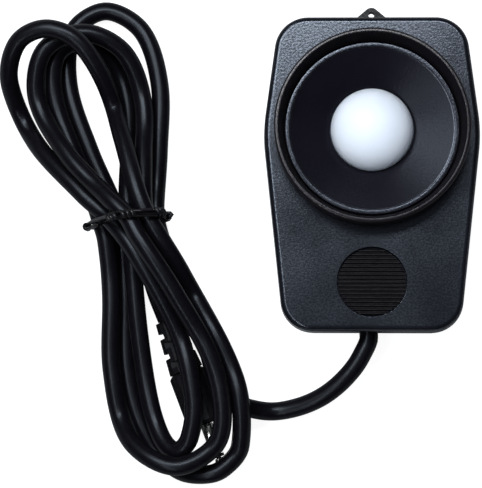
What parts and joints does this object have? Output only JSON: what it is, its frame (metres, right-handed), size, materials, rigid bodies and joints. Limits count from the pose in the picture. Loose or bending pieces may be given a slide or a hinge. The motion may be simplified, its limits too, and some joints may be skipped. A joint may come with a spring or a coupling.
{
  "type": "lux meter sensor head",
  "caption": "Flat light-sensor head with a white opal dome in a black bowl and round collar, a ribbed thumb grip, a lanyard eye and a long cable tied in a hank, ending in a jack plug.",
  "frame": {"origin": "centre of the flat back of the sensor head, on the surface that it lies on", "axes": "+Z out of the sensor head's front, along the dome's axis; +Y along the head towards the lanyard eye; +X to the right as seen from the front with the eye at the top, so the tied cable lies at -X"},
  "size_m": [0.1348, 0.1371, 0.029],
  "materials": {
    "case_plastic": "fine-textured black",
    "rear_plastic": "fine-textured black",
    "collar_plastic": "satin black",
    "dish_plastic": "dead matt black",
    "grip_plastic": "half-gloss black",
    "inner_plastic": "black",
    "opal_plastic": "glossy opal white",
    "black_rubber": "matt black",
    "plug_rubber": "moulded, matt black",
    "filter_glass": "clear green",
    "zinc_steel": "zinc plated",
    "plug_metal": "nickel plated",
    "board_laminate": "green lacquer",
    "cable_jacket": "half-gloss black vinyl",
    "wire_insulation": "vinyl",
    "plug_insulation": "black",
    "tie_coating": "black coating on wire"
  },
  "bodies": {
    "root": {"front_shell": "case_plastic", "rear_shell": "rear_plastic", "collar_ring": "collar_plastic", "sensor_dish": "dish_plastic", "diffuser_dome": "opal_plastic", "dome_gasket": "black_rubber", "dome_retainer": "inner_plastic", "filter_holder": "inner_plastic", "photopic_filter": "filter_glass", "photodiode_can": "zinc_steel", "photodiode_window": "filter_glass", "sensor_board": "board_laminate", "board_screw_1": "zinc_steel", "board_screw_2": "zinc_steel", "board_screw_3": "zinc_steel", "case_screw_1": "zinc_steel", "case_screw_2": "zinc_steel", "case_screw_3": "zinc_steel", "case_screw_4": "zinc_steel", "thumb_grip": "grip_plastic", "cable_grommet": "black_rubber", "cable_clamp": "inner_plastic", "clamp_screw_1": "zinc_steel", "clamp_screw_2": "zinc_steel", "wire_signal": "wire_insulation", "wire_return": "wire_insulation", "wire_screen": "wire_insulation", "cable_entry": "cable_jacket", "cable_lead": "cable_jacket", "cable_hank": "cable_jacket", "cable_tail": "cable_jacket", "twist_tie": "tie_coating", "plug_strain_relief": "plug_rubber", "plug_body": "plug_rubber", "plug_sleeve": "plug_metal", "plug_insulator": "plug_insulation", "plug_tip": "plug_metal"}
  },
  "joints": []
}
